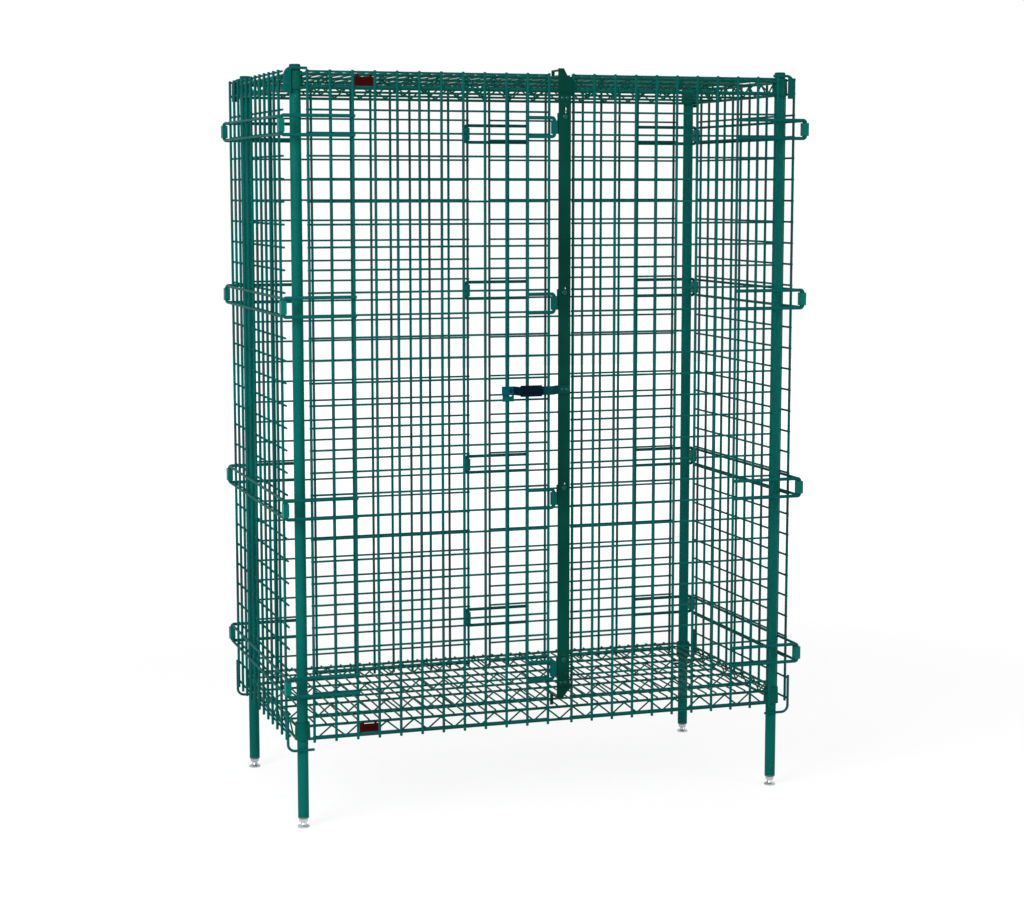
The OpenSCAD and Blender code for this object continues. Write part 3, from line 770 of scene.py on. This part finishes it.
def closed_loops(name, node):
    """Four closed loops that run the whole depth of a side and show at both of its ends."""
    low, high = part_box(node)
    x = (low.x + high.x) / 2
    near, far = low.y + side_loop_radius, high.y - side_loop_radius
    arm = high.z - loop_heights[-1] - side_loop_radius
    loops = Shape()
    for middle in loop_heights:
        top, foot = middle + arm, middle - arm
        path = rounded([(x, 0, top), (x, far, top), (x, far, foot), (x, near, foot),
                        (x, near, top), (x, 0, top)], side_bend, loop_bend_steps)
        rod(loops, path, side_loop_radius, loop_sides)
    make_piece(name, loops, wire_green, "cage", node)


def open_loops(name, node, body, arms_to):
    """Four U-shaped loops; arms_to is 1 where their arms run to the right, and -1 to the left."""
    low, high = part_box(node)
    y = (low.y + high.y) / 2
    turn = low.x + door_loop_radius if arms_to > 0 else high.x - door_loop_radius
    end = high.x if arms_to > 0 else low.x
    arm = high.z - loop_heights[-1] - door_loop_radius
    loops = Shape()
    for middle in loop_heights:
        top, foot = middle + arm, middle - arm
        path = rounded([(end, y, top), (turn, y, top), (turn, y, foot), (end, y, foot)],
                       door_bend, loop_bend_steps)
        rod(loops, path, door_loop_radius, loop_sides)
    make_piece(name, loops, wire_green, body, node)


for side, inward in (("left", 1), ("right", -1)):
    closed_loops(f"side_loop_rods_{side}", f"side_loops_{side}")
    open_loops(f"back_loop_rods_{side}", f"back_loops_{side}", "cage", inward)
    open_loops(f"door_loop_rods_{side}", f"door_loops_{side}", f"{side}_door", inward)
open_loops("back_centre_loop_rods", "back_centre_loops", "cage", 1)
open_loops("door_centre_loop_rods", "door_centre_loops", "left_door", -1)


# Panel hooks: bent rods welded to the side panels, which reach round the posts at top and bottom
# and hold the panels there. A flat plate fills the corner of each upper one.
hook_bend = 16.0 * MM
hook_bend_steps = 7
hook_sink = 0.2 * MM
hook_weld = (1.8 * MM, 3.0 * MM, 3.4 * MM)
lower_hook_tail = 5.0 * MM
upper_hook_tail = 12.0 * MM
corner_plate_width = 13.5 * MM
corner_plate_drop = 37.0 * MM
corner_plate_thickness = 2.3 * MM
corner_plate_edge = 0.3 * MM


def hook_rod(hooks, leg, y, end, bend_level, tip):
    """One rod that runs up or down a panel's cross wires and turns inward round the post."""
    rod(hooks, rounded([(leg, y, end), (leg, y, bend_level), (tip, y, bend_level)], hook_bend,
                       hook_bend_steps), side_loop_radius)


def corner_plate(hooks, leg, inward, top, back, face):
    """A plate between two depths, straight below and rounded like the hook's bend above."""
    foot, bend_foot = top - hook_bend - corner_plate_drop, top - hook_bend
    outline = [(leg, foot), (leg, bend_foot)]
    for step in range(1, hook_bend_steps + 1):
        reach = corner_plate_width * step / hook_bend_steps
        rise = math.sqrt(hook_bend ** 2 - (hook_bend - reach) ** 2)
        outline.append((leg + inward * reach, bend_foot + rise))
    outline.append((leg + inward * corner_plate_width, foot))
    middle = Vector((sum(x for x, z in outline) / len(outline),
                     sum(z for x, z in outline) / len(outline)))
    edge = corner_plate_edge if face > back else -corner_plate_edge
    rings = []
    for y, inset in ((back, corner_plate_edge), (back + edge, 0), (face - edge, 0),
                     (face, corner_plate_edge)):
        ring = []
        for x, z in outline:
            shift = (middle - Vector((x, z))).normalized() * inset
            ring.append((x + shift.x, y, z + shift.y))
        rings.append(ring)
    hooks.skin(rings)


for side, inward in (("left", 1), ("right", -1)):
    low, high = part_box(f"side_hooks_{side}")
    panel_low, panel_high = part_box(f"side_panel_{side}")
    panel_outer = panel_low.x if inward > 0 else panel_high.x
    tip = high.x if inward > 0 else low.x
    cross_wire = panel_outer + inward * (2 * upright_radius + row_radius - weld_bite)
    lower_leg = cross_wire - inward * (row_radius + side_loop_radius)
    upper_leg = cross_wire + inward * (row_radius + side_loop_radius)
    rows = row_heights(panel_low.z, panel_high.z)
    hooks = Shape()
    for face in (low.y, high.y):
        outward = 1 if face > 0 else -1
        y = face - outward * (hook_sink + side_loop_radius)
        hook_rod(hooks, lower_leg, y, rows[1] + lower_hook_tail, low.z + side_loop_radius, tip)
        hook_rod(hooks, upper_leg, y, rows[-2] - upper_hook_tail, high.z - side_loop_radius, tip)
        corner_plate(hooks, upper_leg, inward, high.z - side_loop_radius,
                     face - outward * corner_plate_thickness, face)
        for height in rows[:2]:
            weld(hooks, (cross_wire - inward * row_radius, y, height), hook_weld)
        weld(hooks, (cross_wire + inward * row_radius, y, rows[-2]), hook_weld)
    make_piece(f"panel_hooks_{side}", hooks, wire_green, "cage",
               f"side_hooks_{side}")


# Clips: small blocks moulded in green plastic, a shade livelier than the coated wire. Each is
# pressed over the upright stretches of two rod loops, and is the hinge between them.
clip_edge = 0.7 * MM
clip_green = moulded("green_plastic_clips", photo_tone(5, 112, 102), photo_tone(4, 102, 92),
                     smooth=0.28, rough=0.46, grain=0.06)
for place in ("front_left", "front_right", "rear_left", "rear_right", "rear_centre"):
    softened(f"clip_blocks_{place}", f"clips_{place}", clip_green, "cage",
             edge=clip_edge)


# Lock bar and catches: a flat steel bar that slides on four guides at the free edge of the left
# door. A catch cut from plate is riveted to each end and hooks behind a shelf's rim.
# The coat of the bar and catches is painted a darker green than the posts' coat; this darker tone
# is painted shade on the bar's flat front.
lock_edge = 0.5 * MM
lock_green_with_painted_shade = powder_coat("lock_epoxy_with_painted_shade", photo_tone(1, 71, 59), photo_tone(1, 52, 42),
                         smooth=0.3, speckle=0.12, peel=0.06)
for name in ("lock_bar", "catch_top", "catch_bottom"):
    softened(f"{name}_plate", name, lock_green_with_painted_shade, "lock", edge=lock_edge)


# Handle and grip: a bowed steel strip riveted to the bar, with a padlock hole at its free end. Its
# middle is dipped in navy vinyl. Its teal coat is painted darker from the grip to the bar, as
# painted shade on the sloping part, and turns to the lock bar's green at its end.
handle_edge = 0.6 * MM
grip_edge = 0.9 * MM
vinyl_start = 27.0 * MM
vinyl_border = 0.5 * MM
painted_shade_after_grip = 10.0 * MM
painted_shade_before_bar = 8.0 * MM
band_cover = 0.92

handle_teal = powder_coat("teal_epoxy_handle", photo_tone(2, 80, 95), photo_tone(2, 72, 85),
                          smooth=0.28, rough=0.4, speckle=0.12, peel=0.06)
grip_navy = moulded("navy_vinyl_grip", photo_tone(2, 22, 36), photo_tone(1, 16, 28),
                    smooth=0.34, rough=0.52)


def bands_along_x(material, bands):
    """Recolours a coat in bands along x; each band is a place and the tone that it has there."""
    nodes, links = material.node_tree.nodes, material.node_tree.links
    colour = nodes["Principled BSDF"].inputs["Base Color"]
    start, end = bands[0][0], bands[-1][0]
    place = nodes.new("ShaderNodeTexCoord")
    along = nodes.new("ShaderNodeSeparateXYZ")
    links.new(place.outputs["Object"], along.inputs[0])
    way = nodes.new("ShaderNodeMapRange")
    way.inputs["From Min"].default_value = start
    way.inputs["From Max"].default_value = end
    links.new(along.outputs["X"], way.inputs["Value"])
    ramp = nodes.new("ShaderNodeValToRGB")
    links.new(way.outputs["Result"], ramp.inputs["Fac"])
    stops = ramp.color_ramp.elements
    stops[0].color = bands[0][1]
    stops[1].color = bands[-1][1]
    for x, tone in bands[1:-1]:
        stops.new((x - start) / (end - start)).color = tone
    links.new(mixed_colour(nodes, links, band_cover, colour.links[0].from_socket,
                           ramp.outputs["Color"]), colour)


handle_low, handle_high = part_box("lock_handle")
vinyl_from = handle_low.x + vinyl_start
vinyl_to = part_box("handle_grip")[1].x
bar_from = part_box("lock_bar")[0].x
# Between the grip and the bar the coat is painted a darker teal, which is painted shade on the
# handle's sloping part; its end takes the lock bar's green.
bands_along_x(handle_teal, [
    (handle_low.x, photo_tone(2, 80, 96)),
    (vinyl_from - vinyl_border, photo_tone(2, 78, 93)),
    (vinyl_from + vinyl_border, photo_tone(1, 20, 34)),
    (vinyl_to, photo_tone(1, 24, 38)),
    (vinyl_to + painted_shade_after_grip, photo_tone(2, 60, 70)),
    (bar_from - painted_shade_before_bar, photo_tone(2, 64, 68)),
    (handle_high.x, photo_tone(1, 66, 58))])
softened("bowed_handle", "lock_handle", handle_teal, "lock", edge=handle_edge)
softened("vinyl_grip", "handle_grip", grip_navy, "lock", edge=grip_edge)


# Rivets, guides and screws: plated rivets hold the catches and the handle to the bar. Four small
# guides on the left door's centre loops carry the shoulder screws on which the bar slides.
fastener_edge = 0.3 * MM
guide_edge = 0.4 * MM
screw_zinc = plated("green_plated_screws", photo_tone(22, 84, 72), photo_tone(12, 68, 58))
softened("bar_rivets", "lock_rivets", screw_zinc, "lock", edge=fastener_edge)
softened("guide_plates", "bar_guides", wire_green, "left_door", edge=guide_edge)
softened("shoulder_screws", "guide_screws", screw_zinc, "left_door",
         edge=fastener_edge)


# Padlock plate: a small steel plate welded to the left door behind the free end of the handle,
# with a hole for the padlock's shackle, and coated with the door.
padlock_plate_edge = 0.5 * MM
softened("padlock_plate_edges", "padlock_plate", wire_green, "left_door",
         edge=padlock_plate_edge)
